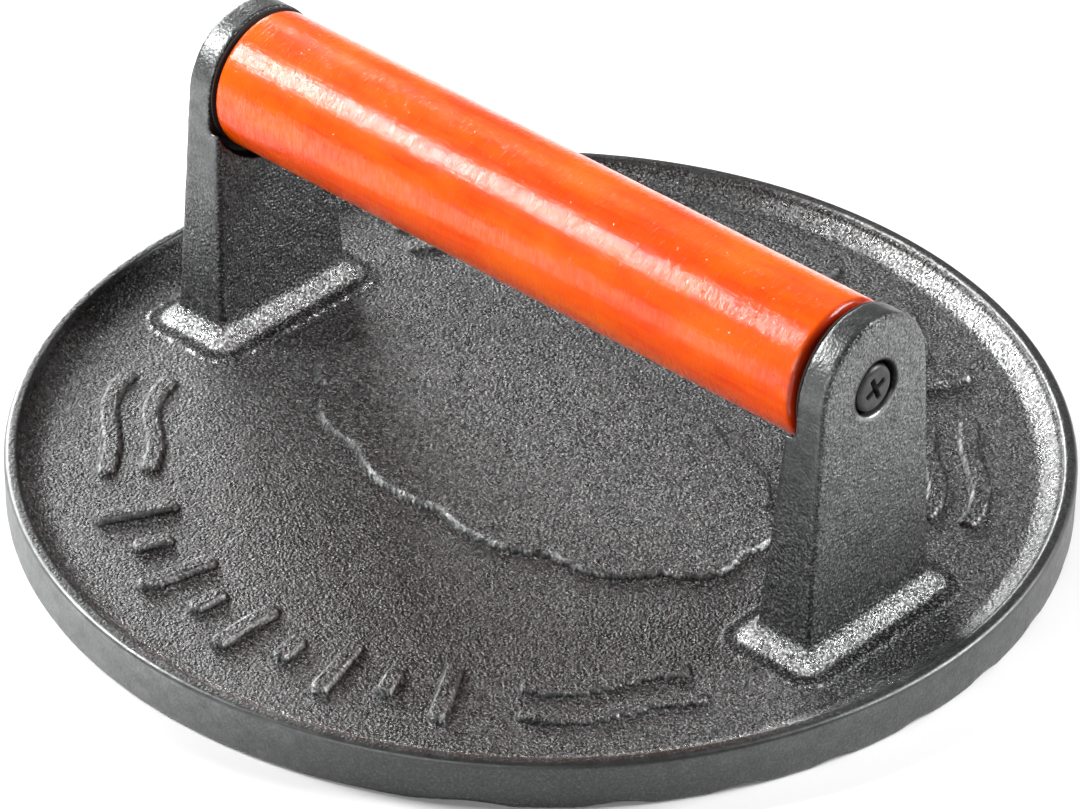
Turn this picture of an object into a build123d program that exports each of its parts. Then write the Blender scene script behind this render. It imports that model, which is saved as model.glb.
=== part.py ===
from build123d import *
import os
from math import cos, pi, radians, sin

# Round cast-iron grill press with a turned wooden grip that spins on a tie rod.
#
# Frame: millimetres. The origin is at the centre of the pressing face, on the lands of its ribs.
# +Z points up, +X runs along the handle and -Y is the front, where the dashes face the cook.

# Plate
plate_radius = 105.0
floor_z = 6.5  # top of the floor inside the rim
rim_z = 10.3  # top of the rim
rim_band_width = 2.5  # flat band on top of the rim
rim_step = 1.2  # small drop from the band to the head of the cove
rim_ledge_width = 0.6
cove_rise = 2.5  # height of the cove where it meets the ledge
cove_width = 5.2
edge_radius = 1.1  # rounded outer edges of the plate

# Ribs under the plate: rounded grooves leave flat lands between them
rib_pitch = 19.0
groove_count = 10
groove_width = 11.4
groove_depth = 1.4

# Raised decoration on the floor
relief_height = 1.4
relief_draft = 14.0
dash_count = 9
dash_angle = 7.6  # degrees from one dash to the next
dash_width = 3.6
dash_inner_radius = 73.0
dash_outer_radius = 90.0
short_dash_cut = 4.2  # how much every other dash is shorter at each end
wave_centre_angle = 52.0  # degrees from the middle of the dashes to the middle of a wave
wave_half_angle = 12.0
wave_radii = (77.0, 85.5)
wave_height = 1.3
wave_line_width = 3.8
wave_end_radius = 1.2
wave_relief = 0.9
wave_steps = 8  # stretches between the points of one wave line
badge_half_length = 55.0
badge_half_width = 32.0
badge_lobes = 12
badge_lobe_depth = 2.6
badge_valley_radius = 1.2

# Uprights, cast in one with the plate
axis_z = 59.8  # height of the handle axis
upright_top_radius = 14.9
upright_base_half_width = 18.1
upright_outer_foot_x = 84.0  # at the floor
upright_outer_axis_x = 82.5  # at the handle axis
upright_inner_foot_x = 70.9
upright_inner_axis_x = 73.9
upright_edge_radius = 1.1
foot_fillet = 6.0
foot_depth = 3.0  # how far an upright runs down into the plate
socket_radius = 16.2  # round pocket that takes the end of the grip
socket_floor_x = 76.2

# Grip, tie rod and washers
grip_radius = 14.4
grip_end_radius = 1.4
grip_left_x = -75.6  # the grip sits against its left end
grip_right_x = 74.1
washer_thickness = 0.5
washer_radius = 14.6
rod_radius = 5.0
running_clearance = 0.05  # radial, between the rod and the grip's bore
rod_bore_radius = 2.5  # M5 thread, drawn as a plain bore
rod_bore_depth = 16.0
rod_chamfer = 0.4
grip_bore_chamfer = 0.6
washer_chamfer = 0.1

# M5 pan-head screws with a cross recess, each sunk in a counterbore
screw_radius = 2.45
screw_clearance_radius = 2.75
screw_head_radius = 4.8
screw_head_x = 82.4  # top of the head, flush with the face of the upright
screw_seat_x = 78.7  # floor of the counterbore
screw_head_rounding = 1.1
screw_tip_x = 63.0
screw_tip_chamfer = 0.7
counterbore_radius = 5.6
recess_length = 5.4
recess_width = 1.2
recess_depth = 2.2
recess_turn = 24.0  # degrees that the cross is turned on the head

# Help in building: a margin for cutting and adding, and how closely a place has to match
margin = 1.0
match = 0.01

os.makedirs("parts", exist_ok=True)

grip_centre_x = (grip_left_x + grip_right_x) / 2
grip_bore_radius = rod_radius + running_clearance
handle_plane = Plane(origin=(0, 0, axis_z), x_dir=(0, 1, 0), z_dir=(1, 0, 0))


def slope_x(foot_x, axis_x, z):
    """x of a sloping upright face at height z, from its x at the floor and at the handle axis."""
    return foot_x + (axis_x - foot_x) * (z - floor_z) / (axis_z - floor_z)


def arc_point(radius, angle):
    return (radius * cos(radians(angle)), radius * sin(radians(angle)))


def badge_point(lobe, inset):
    """Point on the badge's oval, counted in lobes round it and moved in by inset."""
    angle = 2 * pi * lobe / badge_lobes
    return ((badge_half_length - inset) * cos(angle), (badge_half_width - inset) * sin(angle))


# Upright on the +X side: tapered both ways, with the grip's socket and the counterbored screw hole
upright_low_z = floor_z - foot_depth
upright_high_z = axis_z + upright_top_radius + margin
with BuildPart() as upright:
    with BuildSketch(Plane.YZ):
        with BuildLine():
            CenterArc((0, axis_z), upright_top_radius, 0, 360)
            Line((-upright_base_half_width, upright_low_z), (upright_base_half_width, upright_low_z))
        make_hull()
    extrude(amount=plate_radius)
    with BuildSketch(Plane.XZ):
        with BuildLine():
            Polyline(
                (slope_x(upright_inner_foot_x, upright_inner_axis_x, upright_low_z), upright_low_z),
                (slope_x(upright_outer_foot_x, upright_outer_axis_x, upright_low_z), upright_low_z),
                (slope_x(upright_outer_foot_x, upright_outer_axis_x, upright_high_z), upright_high_z),
                (slope_x(upright_inner_foot_x, upright_inner_axis_x, upright_high_z), upright_high_z),
                close=True,
            )
        make_face()
    extrude(amount=plate_radius, both=True, mode=Mode.INTERSECT)
    foot_edges = upright.faces().sort_by(Axis.Z)[0].edges()
    outer_edges = upright.faces().sort_by(Axis.X)[-1].edges()
    fillet(outer_edges - foot_edges, radius=upright_edge_radius)
    foot_edges = upright.faces().sort_by(Axis.Z)[0].edges()
    inner_edges = upright.faces().sort_by(Axis.X)[0].edges()
    fillet(inner_edges - foot_edges, radius=upright_edge_radius)
    with BuildSketch(handle_plane.offset(upright_inner_foot_x - margin)):
        Circle(socket_radius)
    extrude(amount=socket_floor_x - upright_inner_foot_x + margin, mode=Mode.SUBTRACT)
    with Locations(handle_plane.offset(upright_outer_foot_x)):
        CounterBoreHole(
            radius=screw_clearance_radius,
            counter_bore_radius=counterbore_radius,
            counter_bore_depth=upright_outer_foot_x - screw_seat_x,
            depth=upright_outer_foot_x - upright_inner_foot_x + margin,
        )

# Plate: the rim, the cove and the floor are one turned profile
rim_inner_radius = plate_radius - rim_band_width
ledge_outer_radius = rim_inner_radius - rim_step / 2
cove_head_radius = ledge_outer_radius - rim_ledge_width
cove_foot_radius = cove_head_radius - cove_width
with BuildPart() as press_casting:
    with BuildSketch(Plane.XZ):
        with BuildLine():
            rim_and_base = Polyline(
                (cove_head_radius, floor_z + cove_rise),
                (ledge_outer_radius, rim_z - rim_step),
                (rim_inner_radius, rim_z),
                (plate_radius, rim_z),
                (plate_radius, 0),
                (0, 0),
                (0, floor_z),
                (cove_foot_radius, floor_z),
            )
            TangentArc(rim_and_base @ 1, rim_and_base @ 0, tangent=(1, 0))
        make_face()
        outer_corners = vertices().filter_by_position(Axis.X, plate_radius - match, plate_radius + match)
        fillet(outer_corners, radius=edge_radius)
    revolve(axis=Axis.Z)

    # both uprights, with the cast fillet round their feet
    add(upright.part)
    mirror(upright.part, about=Plane.YZ)
    floor_edges = edges().filter_by_position(Axis.Z, floor_z - match, floor_z + match)
    foot_edges = [edge for edge in floor_edges if abs(edge.center().Y) < upright_base_half_width + margin]
    fillet([edge for edge in foot_edges if abs(edge.center().X) > upright_inner_foot_x - margin], radius=foot_fillet)

    # ribs: rounded grooves right across the pressing face
    groove_radius = (groove_width**2 / 4 + groove_depth**2) / (2 * groove_depth)
    with BuildSketch(Plane.YZ):
        with Locations((0, groove_depth - groove_radius)):
            with GridLocations(rib_pitch, 1, groove_count, 1):
                Circle(groove_radius)
    extrude(amount=plate_radius + margin, both=True, mode=Mode.SUBTRACT)

    # dashes in two arcs, at the front and at the back
    dash_middle_radius = (dash_inner_radius + dash_outer_radius) / 2
    dash_span = dash_angle * (dash_count - 1)
    with BuildSketch(Plane.XY.offset(floor_z)):
        for side in (-90, 90):
            for index in range(dash_count):
                length = dash_outer_radius - dash_inner_radius - 2 * short_dash_cut * (index % 2)
                with PolarLocations(dash_middle_radius, 1, start_angle=side - dash_span / 2 + index * dash_angle):
                    SlotOverall(length, dash_width)
    extrude(amount=relief_height, taper=relief_draft)

    # a pair of waves at each end of both arcs
    for side in (-90, 90):
        for turn in (-wave_centre_angle, wave_centre_angle):
            for radius in wave_radii:
                points = []
                for step in range(wave_steps + 1):
                    share = step / wave_steps
                    angle = side + turn + wave_half_angle * (2 * share - 1)
                    points.append(arc_point(radius + wave_height * sin(2 * pi * share), angle))
                with BuildSketch(Plane.XY.offset(floor_z)):
                    with BuildLine():
                        crest = Spline(*points)
                    trace(crest, line_width=wave_line_width)
                    fillet(vertices(), radius=wave_end_radius)
                extrude(amount=wave_relief, taper=relief_draft)

    # raised badge between the uprights: an oval with a scalloped edge
    with BuildSketch(Plane.XY.offset(floor_z)):
        with BuildLine():
            for lobe in range(badge_lobes):
                ThreePointArc(
                    badge_point(lobe, badge_lobe_depth),
                    badge_point(lobe + 0.5, 0),
                    badge_point(lobe + 1, badge_lobe_depth),
                )
        make_face()
        fillet(vertices(), radius=badge_valley_radius)
    extrude(amount=relief_height, taper=relief_draft)

press_casting.part.label = "press_casting"
export_step(press_casting.part, "parts/press_casting.step")

# Grip: a turned and painted cylinder with rounded ends and a bore right through
with BuildPart(handle_plane.offset(grip_centre_x)) as wood_grip:
    Cylinder(grip_radius, grip_right_x - grip_left_x)
    fillet(wood_grip.edges().filter_by(GeomType.CIRCLE), radius=grip_end_radius)
    Hole(grip_bore_radius)
    bore_edges = wood_grip.edges().filter_by(GeomType.CIRCLE)
    chamfer([edge for edge in bore_edges if abs(edge.radius - grip_bore_radius) < match], length=grip_bore_chamfer)
wood_grip.part.label = "wood_grip"
export_step(wood_grip.part, "parts/wood_grip.step")

# Tie rod: clamped between the sockets by the two screws, so that the grip stays free to turn
with BuildPart() as tie_rod:
    with BuildSketch(handle_plane):
        Circle(rod_radius)
    extrude(amount=socket_floor_x, both=True)
    chamfer(tie_rod.edges().filter_by(GeomType.CIRCLE), length=rod_chamfer)
    with Locations(tie_rod.faces().sort_by(Axis.X)[0], tie_rod.faces().sort_by(Axis.X)[-1]):
        Hole(rod_bore_radius, depth=rod_bore_depth)
tie_rod.part.label = "tie_rod"
export_step(tie_rod.part, "parts/tie_rod.step")

# Washers: one on each end of the rod, between the socket floor and the grip
for side, name in ((1, "spacer_washer_right"), (-1, "spacer_washer_left")):
    with BuildPart(handle_plane.offset(side * (socket_floor_x - washer_thickness / 2))) as spacer_washer:
        Cylinder(washer_radius, washer_thickness)
        Hole(grip_bore_radius)
        chamfer(spacer_washer.edges().filter_by(GeomType.CIRCLE), length=washer_chamfer)
    spacer_washer.part.label = name
    export_step(spacer_washer.part, "parts/" + name + ".step")

# Screws: round heads outside, threaded shanks in the ends of the rod
for side, name in ((1, "handle_screw_right"), (-1, "handle_screw_left")):
    with BuildPart() as handle_screw:
        with BuildSketch(Plane.XZ):
            with BuildLine():
                Polyline(
                    (side * screw_head_x, axis_z),
                    (side * screw_head_x, axis_z + screw_head_radius),
                    (side * screw_seat_x, axis_z + screw_head_radius),
                    (side * screw_seat_x, axis_z + screw_radius),
                    (side * (screw_tip_x + screw_tip_chamfer), axis_z + screw_radius),
                    (side * screw_tip_x, axis_z + screw_radius - screw_tip_chamfer),
                    (side * screw_tip_x, axis_z),
                    close=True,
                )
            make_face()
            head_corner = vertices().group_by(Axis.Y)[-1].sort_by(Axis.X)[-1 if side > 0 else 0]
            fillet(head_corner, radius=screw_head_rounding)
        revolve(axis=Axis((0, 0, axis_z), (1, 0, 0)))
        head_plane = Plane(origin=(side * screw_head_x, 0, axis_z), x_dir=(0, side, 0), z_dir=(side, 0, 0))
        with BuildSketch(head_plane):
            Rectangle(recess_length, recess_width, rotation=recess_turn)
            Rectangle(recess_width, recess_length, rotation=recess_turn)
        extrude(amount=-recess_depth, taper=relief_draft, mode=Mode.SUBTRACT)
    handle_screw.part.label = name
    export_step(handle_screw.part, "parts/" + name + ".step")
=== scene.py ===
import math

import bmesh
import bpy
import numpy as np
from mathutils import Matrix, Vector
from mathutils.bvhtree import BVHTree


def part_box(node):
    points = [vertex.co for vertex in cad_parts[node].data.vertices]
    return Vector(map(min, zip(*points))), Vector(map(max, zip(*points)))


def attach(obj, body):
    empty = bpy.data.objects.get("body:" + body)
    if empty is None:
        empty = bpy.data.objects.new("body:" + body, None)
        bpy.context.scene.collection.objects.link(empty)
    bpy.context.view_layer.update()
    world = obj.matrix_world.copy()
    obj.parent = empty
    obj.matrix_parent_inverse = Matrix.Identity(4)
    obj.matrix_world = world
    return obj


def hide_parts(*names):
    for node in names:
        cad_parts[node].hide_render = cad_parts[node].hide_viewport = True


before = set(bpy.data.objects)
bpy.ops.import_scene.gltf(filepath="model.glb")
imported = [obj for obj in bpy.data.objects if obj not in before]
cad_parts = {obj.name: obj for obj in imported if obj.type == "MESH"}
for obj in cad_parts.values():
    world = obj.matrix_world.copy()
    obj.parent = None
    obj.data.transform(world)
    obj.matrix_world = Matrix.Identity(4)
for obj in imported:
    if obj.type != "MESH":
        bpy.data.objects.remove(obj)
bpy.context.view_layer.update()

MM = 0.001

# ---------------------------------------------------------------- camera, at the photograph's viewing angle
# Found by fitting the plate, the uprights and the grip to their outlines in the photograph.
CAMERA_PLACE = (0.59674, -0.65567, 0.62793)  # metres
CAMERA_TURN = (55.426, -0.753, 42.846)  # degrees round X, Y and Z
CAMERA_LENS = 183.77
SENSOR_WIDTH = 36.0

# ---------------------------------------------------------------- sizes read from the frame, in millimetres
plate_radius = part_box("press_casting")[1].x / MM
grip_low, grip_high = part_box("wood_grip")
axis_z = (grip_low.z + grip_high.z) / 2 / MM
grip_radius = (grip_high.z - grip_low.z) / 2 / MM
grip_left = grip_low.x / MM
grip_right = grip_high.x / MM


# ---------------------------------------------------------------- small helpers
def smooth(start, end, value):
    """A smooth step: 0 up to start and 1 from end on. Where end is the lower one, it falls instead."""
    share = np.clip((value - start) / (end - start), 0.0, 1.0)
    return share * share * (3.0 - 2.0 * share)


def between(low, low_full, high_full, high, value):
    """1 from low_full to high_full, with a smooth step down to 0 at low and at high."""
    return smooth(low, low_full, value) * (1.0 - smooth(high_full, high, value))


def blended(values, share, goal):
    """The values moved towards the goal by a share from 0 to 1."""
    return values + share * (goal - values)


def lattice(cells, seed):
    """A fixed value from -1 to 1 for each whole-number cell: its numbers, stirred with large odd factors."""
    mixed = cells[:, 0] * 374761393 + cells[:, 1] * 668265263 + cells[:, 2] * 2147483647 + seed * 974634777
    mixed = (mixed ^ (mixed >> 13)) * 1274126177 & 0xFFFFFFFF
    mixed = (mixed ^ (mixed >> 16)) & 0xFFFFFF
    return mixed / float(0x7FFFFF) - 1.0


def lumps(points, size, seed):
    """Smooth noise from about -1 to 1, with lumps of the given size, at each point."""
    scaled = points / size
    corner = np.floor(scaled).astype(np.int64)
    share = scaled - corner
    share = share * share * (3.0 - 2.0 * share)
    total = np.zeros(len(points))
    for dx in (0, 1):
        wx = share[:, 0] if dx else 1.0 - share[:, 0]
        for dy in (0, 1):
            wy = share[:, 1] if dy else 1.0 - share[:, 1]
            for dz in (0, 1):
                wz = share[:, 2] if dz else 1.0 - share[:, 2]
                total += wx * wy * wz * lattice(corner + np.array((dx, dy, dz)), seed)
    return total


def vertex_values(mesh, field):
    """One row of three numbers for each vertex: its place ("co") or its normal ("normal")."""
    flat = np.zeros(len(mesh.vertices) * 3)
    mesh.vertices.foreach_get(field, flat)
    return flat.reshape(-1, 3)


def set_vertices(mesh, points):
    mesh.vertices.foreach_set("co", points.ravel())
    mesh.update()


def set_attribute(mesh, name, values):
    attribute = mesh.attributes.new(name, "FLOAT", "POINT")
    attribute.data.foreach_set("value", values.astype(np.float32))


def shade_smooth(mesh):
    mesh.polygons.foreach_set("use_smooth", np.ones(len(mesh.polygons), bool))
    mesh.update()


def new_object(name, data):
    """A new object in the scene for a mesh, a light or a camera."""
    obj = bpy.data.objects.new(name, data)
    bpy.context.collection.objects.link(obj)
    return obj


def stand_in(obj, node, body, material):
    """Finish a piece: it rides on a body, takes the place of a CAD node and gets its material."""
    obj.data.materials.append(material)
    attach(obj, body)
    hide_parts(node)


def welded_copy(node):
    """A CAD node's mesh with the doubled points along its edges joined."""
    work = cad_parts[node].data.copy()
    welded = bmesh.new()
    welded.from_mesh(work)
    bmesh.ops.remove_doubles(welded, verts=welded.verts, dist=1e-6)
    welded.to_mesh(work)
    welded.free()
    work.materials.clear()
    return work


def gridded(obj, voxel):
    """The shape of obj, after its modifiers, as one closed skin of small even faces."""
    grid = obj.modifiers.new("grid", "REMESH")
    grid.mode = "VOXEL"
    grid.voxel_size = voxel * MM
    soften = obj.modifiers.new("soften", "SMOOTH")
    soften.factor = 0.5
    soften.iterations = 2
    graph = bpy.context.evaluated_depsgraph_get()
    mesh = bpy.data.meshes.new_from_object(obj.evaluated_get(graph))
    obj.modifiers.clear()
    return mesh


def even_piece(node, name, voxel):
    """A new piece with the shape of a CAD node, on a grid of small even faces."""
    obj = new_object(name, welded_copy(node))
    obj.data = gridded(obj, voxel)
    obj.data.name = name
    shade_smooth(obj.data)
    return obj


# ---------------------------------------------------------------- node trees
class Tree:
    """A material's node tree. Each call makes one node and returns the socket it gives."""

    def __init__(self, name):
        self.material = bpy.data.materials.new(name)
        self.material.use_nodes = True
        self.tree = self.material.node_tree
        self.tree.nodes.clear()
        self.output = self.tree.nodes.new("ShaderNodeOutputMaterial")

    def feed(self, socket, value):
        if isinstance(value, bpy.types.NodeSocket):
            self.tree.links.new(value, socket)
        else:
            socket.default_value = value

    def node(self, kind, inputs=None, out=0, **settings):
        made = self.tree.nodes.new(kind)
        for key, value in settings.items():
            setattr(made, key, value)
        for key, value in (inputs or {}).items():
            self.feed(made.inputs[key], value)
        return made.outputs[out]

    def math(self, operation, a, b):
        return self.node("ShaderNodeMath", {0: a, 1: b}, operation=operation)

    def scaled(self, vector, factors):
        return self.node("ShaderNodeVectorMath", {0: vector, 1: factors}, operation="MULTIPLY")

    def noise(self, vector, scale, detail=2.0, roughness=0.5, distortion=0.0):
        inputs = {"Vector": vector, "Scale": scale, "Detail": detail, "Roughness": roughness}
        inputs["Distortion"] = distortion
        return self.node("ShaderNodeTexNoise", inputs)

    def cells(self, vector, scale, feature="F1", smoothness=1.0):
        inputs = {"Vector": vector, "Scale": scale}
        if feature == "SMOOTH_F1":
            inputs["Smoothness"] = smoothness
        return self.node("ShaderNodeTexVoronoi", inputs, feature=feature)

    def remap(self, value, low, high, to_low=0.0, to_high=1.0):
        inputs = {"Value": value, "From Min": low, "From Max": high, "To Min": to_low, "To Max": to_high}
        return self.node("ShaderNodeMapRange", inputs, clamp=True)

    def mix(self, share, a, b):
        made = self.tree.nodes.new("ShaderNodeMix")
        made.data_type = "RGBA"
        self.feed(made.inputs[0], share)
        self.feed(made.inputs[6], a)
        self.feed(made.inputs[7], b)
        return made.outputs[2]

    def bump(self, height, distance, normal=None):
        inputs = {"Height": height, "Distance": distance, "Strength": 1.0}
        if normal is not None:
            inputs["Normal"] = normal
        return self.node("ShaderNodeBump", inputs)

    def object_mm(self):
        """Object coordinates in millimetres."""
        place = self.node("ShaderNodeTexCoord", out=3)
        return self.scaled(place, (1000.0, 1000.0, 1000.0))

    def attribute(self, name):
        return self.node("ShaderNodeAttribute", out=2, attribute_name=name)

    def finish(self, inputs):
        shader = self.node("ShaderNodeBsdfPrincipled", inputs)
        self.tree.links.new(shader, self.output.inputs["Surface"])
        return self.material


# ---------------------------------------------------------------- materials
BLACK_IRON = (0.006, 0.006, 0.006, 1)
DARK_IRON = (0.011, 0.011, 0.011, 1)
IRON_SPECK = (0.155, 0.155, 0.155, 1)
ORANGE = (0.82, 0.078, 0.002, 1)
DEEP_ORANGE = (0.70, 0.044, 0.0015, 1)
LIGHT_ORANGE = (0.84, 0.112, 0.003, 1)
# painted shade on the grip's right end, where it goes into its socket
SHADED_END_RED = (0.24, 0.006, 0.001, 1)


def iron_material():
    """Seasoned cast iron: nearly black, with a thin shiny skin whose reflections give it its grey.

    A point's "grain" scales its bumps, specks and flecks. Its painted light, a second attribute, changes the
    skin's refractive index: a painted highlight shines above 0, and painted shade stays dark below 0.
    """
    t = Tree("cast_iron")
    place = t.object_mm()
    grain = t.attribute("grain")

    fine = t.noise(place, scale=2.0, detail=2.0, roughness=0.55, distortion=0.25)
    pebble = t.cells(place, scale=1.5, feature="SMOOTH_F1", smoothness=0.5)
    broad = t.noise(place, scale=0.22, detail=3.0, roughness=0.55)
    height = t.math("SUBTRACT", fine, t.math("MULTIPLY", pebble, 0.6))
    skin = t.bump(broad, t.math("MULTIPLY", grain, 0.25 * MM))
    skin = t.bump(height, t.math("MULTIPLY", grain, 0.45 * MM), skin)

    tone = t.noise(place, scale=0.06, detail=3.0, roughness=0.6)
    speck = t.remap(t.noise(place, scale=2.2, detail=1.0), 0.55, 0.68)
    colour = t.mix(t.remap(tone, 0.35, 0.65), BLACK_IRON, DARK_IRON)
    colour = t.mix(t.math("MULTIPLY", speck, grain), colour, IRON_SPECK)

    patch = t.noise(place, scale=0.5, detail=2.0)
    smoothed = t.math("MULTIPLY", t.math("SUBTRACT", 1.0, grain), 0.14)
    rough = t.math("ADD", t.remap(patch, 0.3, 0.7, 0.22, 0.34), smoothed)

    fleck = t.remap(t.noise(place, scale=1.7, detail=1.0), 0.36, 0.64, -1.0, 1.0)
    fleck = t.math("MULTIPLY", fleck, grain)
    flecked = t.math("ADD", 1.0, t.math("MULTIPLY", fleck, 0.7))
    shine = t.math("MULTIPLY", t.attribute("painted_light"), flecked)
    index = t.math("ADD", 1.58, t.math("MULTIPLY", shine, 1.3))
    index = t.math("ADD", index, t.math("MULTIPLY", fleck, 0.22))
    return t.finish(
        {
            "Base Color": colour,
            "Metallic": 0.0,
            "Roughness": rough,
            "IOR": t.math("MAXIMUM", index, 1.12),
            "Specular Tint": (0.977, 1.0, 1.0, 1),
            "Normal": skin,
        }
    )


def paint_material():
    """Orange paint on turned wood: streaks along the grip, fine turned marks round it, and small pits."""
    t = Tree("painted_wood")
    place = t.object_mm()
    around = t.noise(t.scaled(place, (2.6, 0.45, 0.45)), scale=1.0, detail=3.0, roughness=0.6, distortion=0.2)
    along = t.noise(t.scaled(place, (0.05, 0.8, 0.8)), scale=1.0, detail=4.0, roughness=0.6, distortion=0.4)
    blotch = t.noise(t.scaled(place, (0.05, 0.12, 0.12)), scale=1.0, detail=3.0, roughness=0.6)
    turned = t.noise(t.scaled(place, (1.2, 0.4, 0.4)), scale=1.0, detail=2.0, roughness=0.6)
    pits = t.cells(t.scaled(place, (0.28, 0.28, 0.28)), scale=1.0)

    colour = t.mix(t.remap(along, 0.35, 0.7), ORANGE, DEEP_ORANGE)
    colour = t.mix(t.remap(blotch, 0.4, 0.65), colour, LIGHT_ORANGE)
    # painted shade: the grip's right end turns dark red as it goes into its socket; the left end does not
    colour = t.mix(t.attribute("end"), colour, SHADED_END_RED)

    height = t.math("ADD", around, t.math("MULTIPLY", along, 0.5))
    skin = t.bump(height, 0.10 * MM)
    skin = t.bump(t.remap(pits, 0.0, 0.09), 0.12 * MM, skin)
    return t.finish(
        {
            "Base Color": colour,
            "Roughness": t.remap(around, 0.3, 0.7, 0.24, 0.36),
            "IOR": 1.5,
            "Specular IOR Level": 0.12,
            "Coat Weight": t.remap(turned, 0.36, 0.64, 0.34, 0.94),
            "Coat Roughness": t.remap(along, 0.3, 0.7, 0.10, 0.18),
            "Normal": skin,
            "Coat Normal": skin,
        }
    )


def steel_material(name, dark, light, roughness, metallic, turning):
    """Turned or oxidised metal with a patchy tone. A higher turning puts its marks closer together."""
    t = Tree(name)
    place = t.object_mm()
    marks = t.noise(t.scaled(place, (turning, 0.2, 0.2)), scale=1.0, detail=2.0)
    patch = t.noise(place, scale=0.5, detail=4.0, roughness=0.65)
    fine = t.noise(place, scale=6.0, detail=2.0, roughness=0.6)
    colour = t.mix(t.remap(patch, 0.35, 0.65), dark + (1,), light + (1,))
    skin = t.bump(marks, 0.02 * MM)
    skin = t.bump(fine, 0.02 * MM, skin)
    rough = t.remap(fine, 0.3, 0.7, roughness[0], roughness[1])
    return t.finish({"Base Color": colour, "Metallic": metallic, "Roughness": rough, "Normal": skin})


iron = iron_material()
paint = paint_material()
bright_steel = steel_material(
    "bright_steel",
    dark=(0.42, 0.42, 0.43),
    light=(0.60, 0.60, 0.60),
    roughness=(0.22, 0.38),
    metallic=1.0,
    turning=4.0,
)
black_steel = steel_material(
    "black_steel",
    dark=(0.020, 0.020, 0.020),
    light=(0.045, 0.045, 0.045),
    roughness=(0.32, 0.48),
    metallic=0.5,
    turning=2.0,
)
# fibre washers whose near-black also draws the dark ring in the gap round each grip end: partly their own
# colour, partly painted shade
black_washer = steel_material(
    "black_washer",
    dark=(0.006, 0.003, 0.003),
    light=(0.016, 0.008, 0.007),
    roughness=(0.8, 0.95),
    metallic=0.0,
    turning=1.0,
)


# ---------------------------------------------------------------- the casting
# Sizes are in millimetres.
RING_COUNT = 1200  # points round the rim; halved towards the centre
FEWEST_IN_RING = 75
FLOOR_STEP = 0.5  # between rings on the floor
FLOOR_WIDEST = 0.72  # a ring's points on the floor are never this far apart
UNDER_STEP = 0.9
UNDER_WIDEST = 1.25
WALL_STEPS = 12
SETTLING = 0.18  # radius of the disc that the floor's height is averaged over

FLOOR_Z = 6.5
RIM_Z = 10.3
EDGE_RADIUS = 1.1
COVE_FOOT = 96.1
COVE_HEAD = 101.3
COVE_HEAD_Z = 9.0
LEDGE_RADIUS = 101.9
LEDGE_Z = 9.1
BAND_RADIUS = 102.5  # inner edge of the flat top of the rim
RIM_STEP = 0.28  # between rings on the rim

RIB_PITCH = 19.0
GROOVE_COUNT = 10
GROOVE_WIDTH = 11.4
GROOVE_DEPTH = 1.4
GROOVE_SOFTNESS = 0.12

FOOT_CENTRE_X = 77.45
FOOT_HALF = (13.35, 24.8)  # half sizes of the area round a foot, past its fillet
FOOT_CORNER = 7.0
SEAM_GAP = 0.9  # left open round that area and then filled, to join an upright to the plate
PAD_INSET = 0.35  # each foot stands on a low pad, whose edge is this far inside that area
PAD_HEIGHT = 0.4
UPRIGHT_VOXEL = 0.45
UPRIGHT_LOW = np.array((62.0, -28.0, 2.0))  # a block that holds the right upright
UPRIGHT_HIGH = np.array((94.0, 28.0, 80.0))
SOCKET_RADIUS = 16.2
SOCKET_MOUTH = 65.0
SOCKET_FLOOR = 76.2
COUNTERBORE_RADIUS = 5.6
COUNTERBORE_FLOOR = 80.0

PAINTED_SHADE = -0.3  # painted shade: the painted light set in the sockets, corners, strips beside the feet and round each screw hole


def rounded_line(corners, step, passes):
    """Points along a line of corners, evenly spaced, with the corners softened."""
    corners = np.array(corners)
    lengths = np.r_[0.0, np.cumsum(np.linalg.norm(np.diff(corners, axis=0), axis=1))]
    places = np.linspace(0.0, lengths[-1], int(round(lengths[-1] / step)) + 1)
    line = np.stack([np.interp(places, lengths, corners[:, axis]) for axis in (0, 1)], axis=1)
    for _ in range(passes):
        line[1:-1] = 0.25 * line[:-2] + 0.5 * line[1:-1] + 0.25 * line[2:]
    return line


def rim_line():
    """(radius, height) from the foot of the cove out to the top of the outer wall."""
    run = COVE_HEAD - COVE_FOOT
    rise = COVE_HEAD_Z - FLOOR_Z
    cove_radius = (run**2 + rise**2) / (2 * rise)
    corners = []
    for x in np.linspace(0.0, run, 12):
        corners.append((COVE_FOOT + x, FLOOR_Z + cove_radius - math.sqrt(cove_radius**2 - x**2)))
    corners.append((LEDGE_RADIUS, LEDGE_Z))
    corners.append((BAND_RADIUS, RIM_Z))
    corners.append((plate_radius - EDGE_RADIUS, RIM_Z))
    for angle in np.linspace(0.0, math.pi / 2, 8)[1:]:
        out = EDGE_RADIUS * math.sin(angle)
        down = EDGE_RADIUS - EDGE_RADIUS * math.cos(angle)
        corners.append((plate_radius - EDGE_RADIUS + out, RIM_Z - down))
    return rounded_line(corners, RIM_STEP, 2)


def groove_height(y):
    """Height of the pressing face at y, above the lands of its ribs. The grooves are arcs with soft edges."""
    radius = (GROOVE_WIDTH**2 / 4 + GROOVE_DEPTH**2) / (2 * GROOVE_DEPTH)
    last = (GROOVE_COUNT - 1) / 2 * RIB_PITCH
    nearest = np.clip((np.floor(y / RIB_PITCH) + 0.5) * RIB_PITCH, -last, last)
    away = np.minimum(np.abs(y - nearest), GROOVE_WIDTH / 2 + 2.0)
    height = GROOVE_DEPTH - radius + np.sqrt(np.maximum(radius**2 - away**2, 0.0))
    rounded = 0.5 * (height + np.sqrt(height**2 + GROOVE_SOFTNESS**2))
    return np.maximum(rounded - 0.5 * GROOVE_SOFTNESS**2, 0.0)


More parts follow.
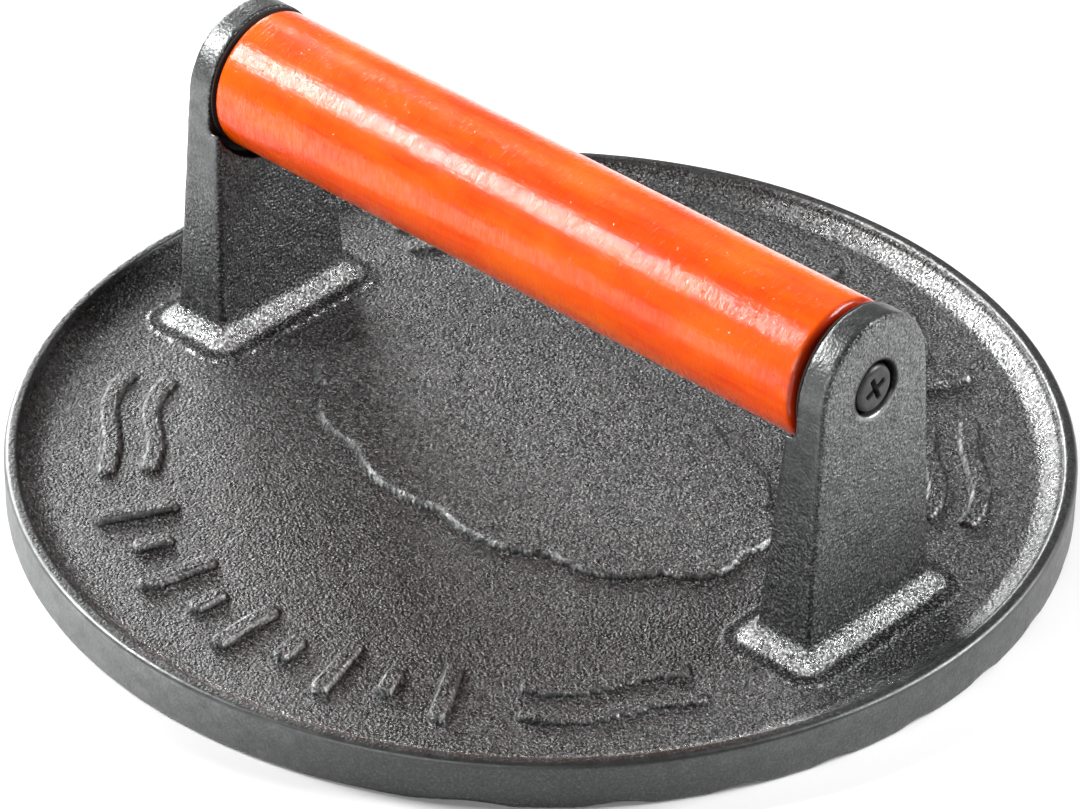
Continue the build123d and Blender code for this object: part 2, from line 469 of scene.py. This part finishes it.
def settled_height(x, y, tree, spread):
    """Height of the CAD's upper surface at each point, averaged over a small disc to soften its edges."""
    offsets = [(0.0, 0.0)]
    for index in range(6):
        angle = index * math.pi / 3
        offsets.append((spread * math.cos(angle), spread * math.sin(angle)))
    total = np.zeros(len(x))
    down = Vector((0.0, 0.0, -1.0))
    for dx, dy in offsets:
        for index in range(len(x)):
            hit = tree.ray_cast(Vector(((x[index] + dx) * MM, (y[index] + dy) * MM, 0.2)), down)
            total[index] += hit[0].z / MM
    return total / len(offsets)


def circle_points(radius, height, count):
    angles = np.arange(count) * 2 * math.pi / count
    return np.stack((radius * np.cos(angles), radius * np.sin(angles), np.full(count, height)), axis=1)


def ring_faces(start_a, count_a, start_b, count_b):
    """Faces between two rings with the same number of points, or with twice as many in one."""
    if count_a < count_b:
        start_a, count_a, start_b, count_b = start_b, count_b, start_a, count_a
    if count_a == count_b:
        i = np.arange(count_a)
        j = (i + 1) % count_a
        return np.stack((start_a + i, start_a + j, start_b + j, start_b + i), axis=1).tolist()
    i = np.arange(count_b)
    j = (i + 1) % count_b
    first = start_a + 2 * i
    middle = start_a + 2 * i + 1
    last = start_a + (2 * i + 2) % count_a
    faces = np.stack((first, middle, start_b + i), axis=1).tolist()
    faces += np.stack((middle, start_b + j, start_b + i), axis=1).tolist()
    faces += np.stack((middle, last, start_b + j), axis=1).tolist()
    return faces


def disc_counts(radii, outer_count, widest):
    """How many points each ring of a disc gets: halved whenever they come too close together."""
    counts = []
    count = outer_count
    for radius in radii:
        while count > FEWEST_IN_RING and 2 * math.pi * radius / count < widest / 2:
            count //= 2
        counts.append(count)
    return counts


def plate_rings(tree):
    """Rings of points from the middle of the floor, over the rim, to the middle of the pressing face."""
    floor_radii = np.arange(COVE_FOOT - FLOOR_STEP, FLOOR_STEP / 2, -FLOOR_STEP)
    top = []
    for radius, count in zip(floor_radii, disc_counts(floor_radii, RING_COUNT, FLOOR_WIDEST)):
        ring = circle_points(radius, 0.0, count)
        ring[:, 2] = settled_height(ring[:, 0], ring[:, 1], tree, SETTLING)
        top.append(ring)
    rings = top[::-1]
    for radius, height in rim_line():
        rings.append(circle_points(radius, height, RING_COUNT))
    edge = circle_points(plate_radius, 0.0, RING_COUNT)
    low = np.maximum(groove_height(edge[:, 1]), EDGE_RADIUS)
    high = rings[-1][0, 2]
    for share in np.linspace(0.0, 1.0, WALL_STEPS + 1)[1:]:
        ring = edge.copy()
        ring[:, 2] = high + (low - high) * share
        rings.append(ring)
    for angle in np.linspace(0.0, math.pi / 2, 6)[1:]:
        radius = plate_radius - EDGE_RADIUS + EDGE_RADIUS * math.cos(angle)
        ring = circle_points(radius, 0.0, RING_COUNT)
        rounding = EDGE_RADIUS - EDGE_RADIUS * math.sin(angle)
        ring[:, 2] = np.maximum(groove_height(ring[:, 1]), rounding)
        rings.append(ring)
    under_radii = np.arange(plate_radius - EDGE_RADIUS - UNDER_STEP, UNDER_STEP / 2, -UNDER_STEP)
    for radius, count in zip(under_radii, disc_counts(under_radii, RING_COUNT, UNDER_WIDEST)):
        ring = circle_points(radius, 0.0, count)
        ring[:, 2] = groove_height(ring[:, 1])
        rings.append(ring)
    return rings


def foot_distance(x, y):
    """Distance outside the rounded rectangle round the nearer foot, on the floor."""
    across = np.abs(np.abs(x) - FOOT_CENTRE_X) - (FOOT_HALF[0] - FOOT_CORNER)
    along = np.abs(y) - (FOOT_HALF[1] - FOOT_CORNER)
    outside = np.hypot(np.maximum(across, 0.0), np.maximum(along, 0.0))
    return outside + np.minimum(np.maximum(across, along), 0.0) - FOOT_CORNER


def plate_mesh(tree):
    """The plate without its uprights: rings joined into faces, with a hole where each foot goes."""
    rings = plate_rings(tree)
    points = [np.array([[0.0, 0.0, rings[0][:, 2].mean()]])]
    faces = []
    start = 1
    starts = []
    for ring in rings:
        starts.append(start)
        points.append(ring)
        start += len(ring)
    points.append(np.array([[0.0, 0.0, 0.0]]))
    for index in range(len(rings) - 1):
        faces += ring_faces(starts[index], len(rings[index]), starts[index + 1], len(rings[index + 1]))
    for centre, index in ((0, 0), (start, -1)):
        first = starts[index]
        count = len(rings[index])
        faces += [(centre, first + i, first + (i + 1) % count) for i in range(count)]
    points = np.concatenate(points)
    centres = np.array([points[list(face)].mean(0) for face in faces])
    keep = (foot_distance(centres[:, 0], centres[:, 1]) > SEAM_GAP) | (centres[:, 2] < FLOOR_Z - 1.5)
    faces = [face for face, kept in zip(faces, keep) if kept]
    mesh = bpy.data.meshes.new("plate")
    mesh.from_pydata((points * MM).tolist(), [], faces)
    return mesh


def block_object(low, high):
    """A plain block between two corners, used only to cut with."""
    block = bmesh.new()
    bmesh.ops.create_cube(block, size=1.0)
    for vert in block.verts:
        vert.co = Vector((low + high) / 2 * MM + np.array(vert.co) * (high - low) * MM)
    mesh = bpy.data.meshes.new("block")
    block.to_mesh(mesh)
    block.free()
    return new_object("block", mesh)


def upright_mesh():
    """The right upright with its foot, on an even grid of small faces, open round the edge of its foot."""
    obj = new_object("upright", welded_copy("press_casting"))
    cutter = block_object(UPRIGHT_LOW, UPRIGHT_HIGH)
    cut = obj.modifiers.new("cut", "BOOLEAN")
    cut.operation = "INTERSECT"
    cut.solver = "EXACT"
    cut.object = cutter
    mesh = gridded(obj, UPRIGHT_VOXEL)
    bpy.data.objects.remove(cutter)
    bpy.data.objects.remove(obj)
    skin = bmesh.new()
    skin.from_mesh(mesh)
    centres = np.array([face.calc_center_median() for face in skin.faces]) / MM
    gone = (foot_distance(centres[:, 0], centres[:, 1]) > 0.0) | (centres[:, 2] < FLOOR_Z - 1.0)
    bmesh.ops.delete(skin, geom=[face for face, lost in zip(list(skin.faces), gone) if lost], context="FACES")
    skin.to_mesh(mesh)
    skin.free()
    return mesh


def casting_mesh():
    """The plate, the right upright and its mirror image, joined into one closed skin."""
    source = welded_copy("press_casting")
    surface = bmesh.new()
    surface.from_mesh(source)
    tree = BVHTree.FromBMesh(surface)
    surface.free()
    whole = bmesh.new()
    whole.from_mesh(plate_mesh(tree))
    upright = upright_mesh()
    whole.from_mesh(upright)
    upright.transform(Matrix.Scale(-1.0, 4, (1.0, 0.0, 0.0)))
    whole.from_mesh(upright)
    for side in (-1, 1):
        rim = [edge for edge in whole.edges if edge.is_boundary and edge.verts[0].co.x * side > 0]
        bmesh.ops.triangle_fill(whole, edges=rim, use_beauty=True, normal=(0.0, 0.0, 1.0))
    bmesh.ops.recalc_face_normals(whole, faces=whole.faces)
    mesh = bpy.data.meshes.new("plate_and_uprights")
    whole.to_mesh(mesh)
    whole.free()
    shade_smooth(mesh)
    return mesh


class Zones:
    """How far each point of the casting belongs to each of its parts, from 0 to 1."""

    def __init__(self, points, normals):
        self.points = points
        self.normals = normals
        self.height = points[:, 2]
        self.radius = np.hypot(points[:, 0], points[:, 1])
        self.off_axis = np.hypot(points[:, 1], self.height - axis_z)
        self.above_floor = self.height > FLOOR_Z - 1.0
        self.right_side = smooth(-40.0, 30.0, points[:, 0])  # 0 on the left of the plate, 1 on the right
        self.find_rim()
        self.find_uprights()
        self.find_feet()
        self.find_decoration()

    def find_rim(self):
        """The wall outside and its rounded edge, the band on top, the ledge and cove inside, and the ribs."""
        radius, height = self.radius, self.height
        outer_wall = smooth(plate_radius - 1.1, plate_radius - 0.3, radius)
        self.wall = outer_wall * (1.0 - smooth(RIM_Z - 0.8, RIM_Z - 0.2, height))
        near_top = smooth(RIM_Z - 0.9, RIM_Z - 0.4, height)
        self.band = smooth(BAND_RADIUS - 0.8, BAND_RADIUS - 0.2, radius) * near_top
        outermost = smooth(plate_radius - 1.0, plate_radius - 0.7, radius)
        self.rim_edge = outermost * smooth(RIM_Z - 1.1, RIM_Z - 0.7, height)
        inner_edge = between(LEDGE_RADIUS, LEDGE_RADIUS + 0.4, BAND_RADIUS + 0.1, BAND_RADIUS + 0.5, radius)
        self.inner_edge = inner_edge * (height > COVE_HEAD_Z)
        ledge = between(COVE_HEAD - 0.3, COVE_HEAD + 0.1, LEDGE_RADIUS - 0.2, LEDGE_RADIUS + 0.2, radius)
        self.ledge = ledge * (height > FLOOR_Z)
        cove = between(COVE_FOOT + 0.9, COVE_FOOT + 2.1, COVE_HEAD - 0.3, COVE_HEAD + 0.5, radius)
        self.cove = cove * self.above_floor
        self.under = smooth(-0.2, -0.7, self.normals[:, 2]) * smooth(6.0, 3.0, height)

    def find_uprights(self):
        """The uprights, with their narrow sides, corners, sockets and the lips of their screw holes."""
        across = np.abs(self.points[:, 0])
        facing_out = np.abs(self.normals[:, 0])
        in_socket = (across > SOCKET_MOUTH) * (across < SOCKET_FLOOR + 0.1)
        from_bore = np.abs(self.off_axis - COUNTERBORE_RADIUS)
        self.upright = smooth(9.0, 14.0, self.height)
        self.narrow = 1.0 - smooth(0.4, 0.7, facing_out)
        self.corner = facing_out * np.hypot(self.normals[:, 1], self.normals[:, 2])
        self.corner = self.upright * smooth(0.2, 0.4, self.corner)
        self.socket = in_socket * (self.off_axis < SOCKET_RADIUS + 0.1)
        self.screw_lip = self.upright * (across > COUNTERBORE_FLOOR) * (1.0 - smooth(0.3, 1.2, from_bore))

    def find_feet(self):
        """The fillet round each foot, the strip outside it that gets painted shade, and painted glints on the
        edge of its pad.
        """
        self.inside = -foot_distance(self.points[:, 0], self.points[:, 1])
        self.pad_edge = PAD_INSET + 0.25 * lumps(self.points, size=3.0, seed=13)
        self.low = 1.0 - smooth(FLOOR_Z + 1.0, FLOOR_Z + 5.0, self.height)
        facing_front = smooth(0.1, 0.4, -self.normals[:, 1])
        # painted highlight: a bright band partway up each foot's fillet, made stronger where the fillet faces
        # the front
        self.fillet = between(3.3, 4.1, 6.8, 7.4, self.inside) * (1.0 - smooth(9.6, 11.2, self.height))
        self.fillet = self.fillet * (1.4 + 0.6 * facing_front)
        # painted shade in a strip just outside each foot's fillet
        self.shaded_strip = between(0.9, 1.4, 2.8, 3.5, self.inside) * self.low
        # painted glints: bright dots along the edge of each pad, weaker on the right foot
        near_edge = 1.0 - smooth(0.25, 0.5, np.abs(self.inside - self.pad_edge - 0.25))
        self.pad_glints = smooth(0.0, 0.5, lumps(self.points, size=0.9, seed=16)) * near_edge
        self.pad_glints = self.pad_glints * np.where(self.points[:, 0] < 0.0, 1.0, 0.15)

    def find_decoration(self):
        """The decoration's sloping edges and their crests, and the part of the floor behind the grip."""
        x, y = self.points[:, 0], self.points[:, 1]
        on_floor = (self.radius < COVE_FOOT - 1.0) * (self.inside < 0.0) * (self.height > FLOOR_Z - 0.5)
        self.edging = smooth(0.97, 0.85, self.normals[:, 2]) * on_floor
        self.crest = self.edging * smooth(FLOOR_Z + 0.4, FLOOR_Z + 0.8, self.height)
        # where the grip stands in front of the floor, the crests get no painted highlight
        self.hidden = smooth(30.0, 45.0, y) * smooth(50.0, 35.0, x)


def casting_grain(zones):
    """How coarse the cast skin is: 1 on the floor, and least on the rim's edge and in the sockets."""
    on_upright = 0.85 - 0.65 * zones.narrow * smooth(25.0, 50.0, zones.height)
    grain = blended(np.ones(len(zones.points)), zones.upright, on_upright)
    grain = blended(grain, zones.band, 0.3)
    grain = blended(grain, zones.wall, 0.2)
    grain = blended(grain, zones.rim_edge, 0.05)
    grain = blended(grain, zones.under, 0.5)
    return blended(grain, np.maximum(zones.socket, zones.screw_lip), 0.1)


def casting_painted_light(zones):
    """Painted light, as a change in how strongly the skin reflects: painted highlights above 0, painted shade
    below 0.

    The differences between left and right, between front and back, and behind the grip stand in for
    the light in the photograph, and not for wear.
    """
    x, y, height = zones.points[:, 0], zones.points[:, 1], zones.height
    # painted reflection on the outer wall: strong on the left and faint on the right
    left_wall = 1.3 * smooth(60.0, -50.0, x)
    right_wall = 0.25 * smooth(-75.0, -25.0, y) * zones.right_side
    # painted highlights: a band on each foot's fillet, glints on the pad edges, the cove's right half, the
    # uprights brightening towards their tops, the outer wall, the rim's outer edge on the left, and the band
    # and inner edge on the right
    painted_light = np.maximum.reduce(
        [
            zones.fillet,
            3.0 * zones.pad_glints * zones.low,
            zones.cove * zones.right_side * (1.45 + 0.8 * smooth(60.0, 90.0, y)),
            zones.upright * (0.15 + 0.3 * smooth(15.0, 55.0, height)),
            zones.wall * (0.02 + left_wall + right_wall),
            0.8 * zones.rim_edge * (1.0 - zones.right_side),
            0.15 * zones.band * zones.right_side,
            1.1 * zones.inner_edge * zones.right_side,
        ]
    )
    # painted shade on the ledge inside the rim and on the lower part of the decoration's sloping sides
    painted_light = painted_light - 0.25 * zones.ledge - 0.4 * (zones.edging - zones.crest)

    # painted highlight along the decoration's crests: strong where they face the back, broken elsewhere, and
    # none behind the grip
    towards_back = zones.normals[:, 0] + zones.normals[:, 1] > 0.0
    broken_line = 0.8 * smooth(-0.3, 0.3, lumps(zones.points, size=1.7, seed=17))
    crest = np.where(towards_back, 0.9, broken_line)
    painted_light = painted_light + zones.crest * (1.0 - zones.hidden) * crest
    painted_light = painted_light * (0.85 + 0.3 * lumps(zones.points, size=2.5, seed=15))

    # painted shade in the sockets, along the uprights' rounded corners, and in the strip just outside each
    # foot
    painted_light = blended(painted_light, np.maximum(0.6 * zones.corner, zones.socket), PAINTED_SHADE)
    painted_light = blended(painted_light, zones.shaded_strip, PAINTED_SHADE)
    # painted highlight on the lower part of each screw hole's lip, with painted shade round the rest of the
    # lip
    bright_below = 1.4 * smooth(axis_z - 2.0, axis_z - 4.5, height)
    return blended(painted_light, zones.screw_lip, bright_below + PAINTED_SHADE)


def uneven_points(zones, grain):
    """The points, moved a little so that the skin is uneven and each foot stands on a low pad."""
    uneven = 0.06 * lumps(zones.points, size=4.1, seed=11)
    uneven = uneven + 0.05 * lumps(zones.points, size=1.9, seed=12)
    moved = zones.points + zones.normals * (uneven * (0.15 + 0.85 * grain))[:, None]
    on_pad = smooth(0.0, 0.35, zones.inside - zones.pad_edge) * zones.low * zones.above_floor
    moved[:, 2] += PAD_HEIGHT * on_pad
    return moved


def build_casting():
    mesh = casting_mesh()
    zones = Zones(vertex_values(mesh, "co") / MM, vertex_values(mesh, "normal"))
    grain = casting_grain(zones)
    set_vertices(mesh, uneven_points(zones, grain) * MM)
    set_attribute(mesh, "grain", grain * (1.0 - 0.6 * zones.edging))
    set_attribute(mesh, "painted_light", casting_painted_light(zones))
    stand_in(new_object("plate_and_uprights", mesh), "press_casting", "press", iron)


# ---------------------------------------------------------------- the grip
GRIP_SEGMENTS = 200
GRIP_STEPS = 220  # along the outside
BORE_STEPS = 40
BORE_RADIUS = 5.05
BORE_CHAMFER = 0.6
GRIP_ROUND = 1.4


def grip_profile():
    """(distance along the axis, radius) all round half a section, back through the bore."""
    ends = []
    for end, turn in ((grip_left, -1), (grip_right, 1)):
        corner = []
        for angle in np.linspace(0.0, math.pi / 2, 9):
            along = end - turn * GRIP_ROUND * (1.0 - math.sin(angle))
            corner.append((along, grip_radius - GRIP_ROUND * (1.0 - math.cos(angle))))
        for radius in np.linspace(grip_radius - GRIP_ROUND, BORE_RADIUS + BORE_CHAMFER, 12)[1:]:
            corner.append((end, radius))
        corner.append((end - turn * BORE_CHAMFER, BORE_RADIUS))
        ends.append(corner)
    first = ends[0][0][0]
    last = ends[1][0][0]
    outside = [(x, grip_radius) for x in np.linspace(first, last, GRIP_STEPS)[1:-1]]
    bore_places = np.linspace(grip_right - BORE_CHAMFER, grip_left + BORE_CHAMFER, BORE_STEPS)
    inside = [(x, BORE_RADIUS) for x in bore_places[1:-1]]
    return ends[0][::-1] + outside + ends[1] + inside


def grip_points(profile):
    """The profile turned round the axis, with a skin that is slightly wavy."""
    angles = np.arange(GRIP_SEGMENTS) * 2 * math.pi / GRIP_SEGMENTS
    along = np.repeat(profile[:, 0][:, None], GRIP_SEGMENTS, axis=1)
    radial = np.repeat(profile[:, 1][:, None], GRIP_SEGMENTS, axis=1)
    sideways = radial * np.cos(angles)[None, :]
    upwards = axis_z + radial * np.sin(angles)[None, :]
    points = np.stack((along, sideways, upwards), axis=2).reshape(-1, 3)
    outward = points - np.array((0.0, 0.0, axis_z))
    outward[:, 0] = 0.0
    outward /= np.linalg.norm(outward, axis=1)[:, None]
    on_skin = smooth(BORE_RADIUS + 1.0, grip_radius - 1.0, radial.ravel())
    waves = 0.05 * lumps(points * (0.25, 1.0, 1.0), size=6.0, seed=21)
    waves = waves + 0.02 * lumps(points, size=2.2, seed=22) - 0.03
    return points + outward * (waves * on_skin)[:, None]


def grip_faces(rings):
    """Four-sided faces between each ring of points and the next, and from the last back to the first."""
    here = np.arange(rings * GRIP_SEGMENTS).reshape(rings, GRIP_SEGMENTS)
    beside = np.roll(here, -1, axis=1)
    beyond = np.roll(beside, -1, axis=0)
    ahead = np.roll(here, -1, axis=0)
    return np.stack((here, beside, beyond, ahead), axis=2).reshape(-1, 4)


def build_grip():
    profile = np.array(grip_profile())
    points = grip_points(profile)
    mesh = bpy.data.meshes.new("turned_grip")
    mesh.from_pydata((points * MM).tolist(), [], grip_faces(len(profile)).tolist())
    skin = bmesh.new()
    skin.from_mesh(mesh)
    bmesh.ops.recalc_face_normals(skin, faces=skin.faces)
    skin.to_mesh(mesh)
    skin.free()
    shade_smooth(mesh)
    # painted shade on the last 1.5 mm of the grip's right end, inside its socket
    set_attribute(mesh, "end", 0.85 * smooth(grip_right - 1.5, grip_right - 0.3, points[:, 0]))
    stand_in(new_object("turned_grip", mesh), "wood_grip", "grip", paint)


# ---------------------------------------------------------------- screws, washers and rod
SCREW_VOXEL = 0.14


def build_screw(side):
    node = "handle_screw_" + side
    screw = even_piece(node, "pan_screw_" + side, SCREW_VOXEL)
    stand_in(screw, node, "press", black_steel)


def refinish(node, material):
    """A CAD node whose shape is kept gets its material."""
    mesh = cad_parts[node].data
    mesh.materials.clear()
    mesh.materials.append(material)


build_casting()
build_grip()
for side in ("right", "left"):
    build_screw(side)
    refinish("spacer_washer_" + side, black_washer)
refinish("tie_rod", bright_steel)


# ---------------------------------------------------------------- floor, lights and camera, in metres
FLOOR_HALF = 6.0
FADE_START = 450.0  # millimetres from the middle of the floor
FADE_END = 1000.0
SURROUND = 0.05  # strength of the light that comes from all round


def floor_material():
    """Pale and matt. Far from the object the camera sees it fade into the white backdrop."""
    t = Tree("pale_floor")
    place = t.object_mm()
    tone = t.noise(place, scale=0.02, detail=2.0)
    colour = t.mix(tone, (0.86, 0.86, 0.86, 1), (0.9, 0.9, 0.9, 1))
    matt = t.node("ShaderNodeBsdfPrincipled", {"Base Color": colour, "Roughness": 0.8})
    white = t.node("ShaderNodeEmission", {"Color": (1, 1, 1, 1), "Strength": 1.0})
    distance = t.node("ShaderNodeVectorMath", {0: place}, out=1, operation="LENGTH")
    is_camera_ray = t.node("ShaderNodeLightPath")
    share = t.math("MULTIPLY", t.remap(distance, FADE_START, FADE_END), is_camera_ray)
    surface = t.node("ShaderNodeMixShader", {0: share, 1: matt, 2: white})
    t.tree.links.new(surface, t.output.inputs["Surface"])
    return t.material


def build_floor():
    mesh = bpy.data.meshes.new("floor")
    corners = [(x * FLOOR_HALF, y * FLOOR_HALF, 0.0) for x, y in ((-1, -1), (1, -1), (1, 1), (-1, 1))]
    mesh.from_pydata(corners, [], [(0, 1, 2, 3)])
    mesh.materials.append(floor_material())
    new_object("floor", mesh)


def softbox(name, direction, distance, size, radiance, target=(0, 0, 0.03), across=(0, 0, 1)):
    """A rectangular light in a direction from the target, facing it, whose width runs square to across."""
    light = bpy.data.lights.new(name, "AREA")
    light.shape = "RECTANGLE"
    light.size = size[0]
    light.size_y = size[1]
    light.energy = radiance * math.pi * size[0] * size[1]
    lamp = new_object(name, light)
    away = Vector(direction).normalized()
    lamp.location = Vector(target) + away * distance
    side = Vector(across).cross(away).normalized()
    lamp.rotation_mode = "QUATERNION"
    lamp.rotation_quaternion = Matrix((side, away.cross(side), away)).transposed().to_quaternion()
    lamp.visible_camera = False


def build_world():
    """A dim white surround for the lighting, which the camera sees as a pure white backdrop."""
    world = bpy.data.worlds.new("studio")
    bpy.context.scene.world = world
    world.use_nodes = True
    nodes = world.node_tree.nodes
    links = world.node_tree.links
    nodes.clear()
    path = nodes.new("ShaderNodeLightPath")
    mix = nodes.new("ShaderNodeMixShader")
    output = nodes.new("ShaderNodeOutputWorld")
    links.new(path.outputs["Is Camera Ray"], mix.inputs[0])
    for index, strength in ((1, SURROUND), (2, 1.0)):
        background = nodes.new("ShaderNodeBackground")
        background.inputs["Color"].default_value = (1, 1, 1, 1)
        background.inputs["Strength"].default_value = strength
        links.new(background.outputs[0], mix.inputs[index])
    links.new(mix.outputs[0], output.inputs["Surface"])


def build_lights():
    """A narrow key light that draws the streak along the grip, and four wide soft ones.

    Their strengths were tuned until the render was about as bright as the photograph.
    """
    softbox(
        "key",
        (-0.637, -0.45, 0.625),
        distance=0.7,
        size=(0.28, 0.12),
        radiance=66.0,
        target=(grip_left * MM, 0.0, (axis_z + grip_radius) * MM),
        across=(1, 0, 0),
    )
    softbox("back_right", (0.57, 0.61, 0.55), distance=1.3, size=(0.7, 0.5), radiance=23.0)
    softbox("low_left", (-0.92, 0.30, 0.26), distance=1.3, size=(0.8, 0.4), radiance=17.0)
    softbox("front", (0.2, -0.9, 0.35), distance=1.5, size=(1.2, 0.6), radiance=5.2)
    softbox("back_left", (-0.55, 0.61, 0.57), distance=1.3, size=(0.8, 0.6), radiance=0.4)


def build_camera():
    camera = bpy.data.cameras.new("camera")
    camera.sensor_width = SENSOR_WIDTH
    camera.lens = CAMERA_LENS
    viewer = new_object("camera", camera)
    viewer.location = CAMERA_PLACE
    viewer.rotation_euler = [math.radians(turn) for turn in CAMERA_TURN]
    bpy.context.scene.camera = viewer


build_floor()
build_world()
build_lights()
build_camera()
bpy.context.scene.view_settings.view_transform = "Standard"
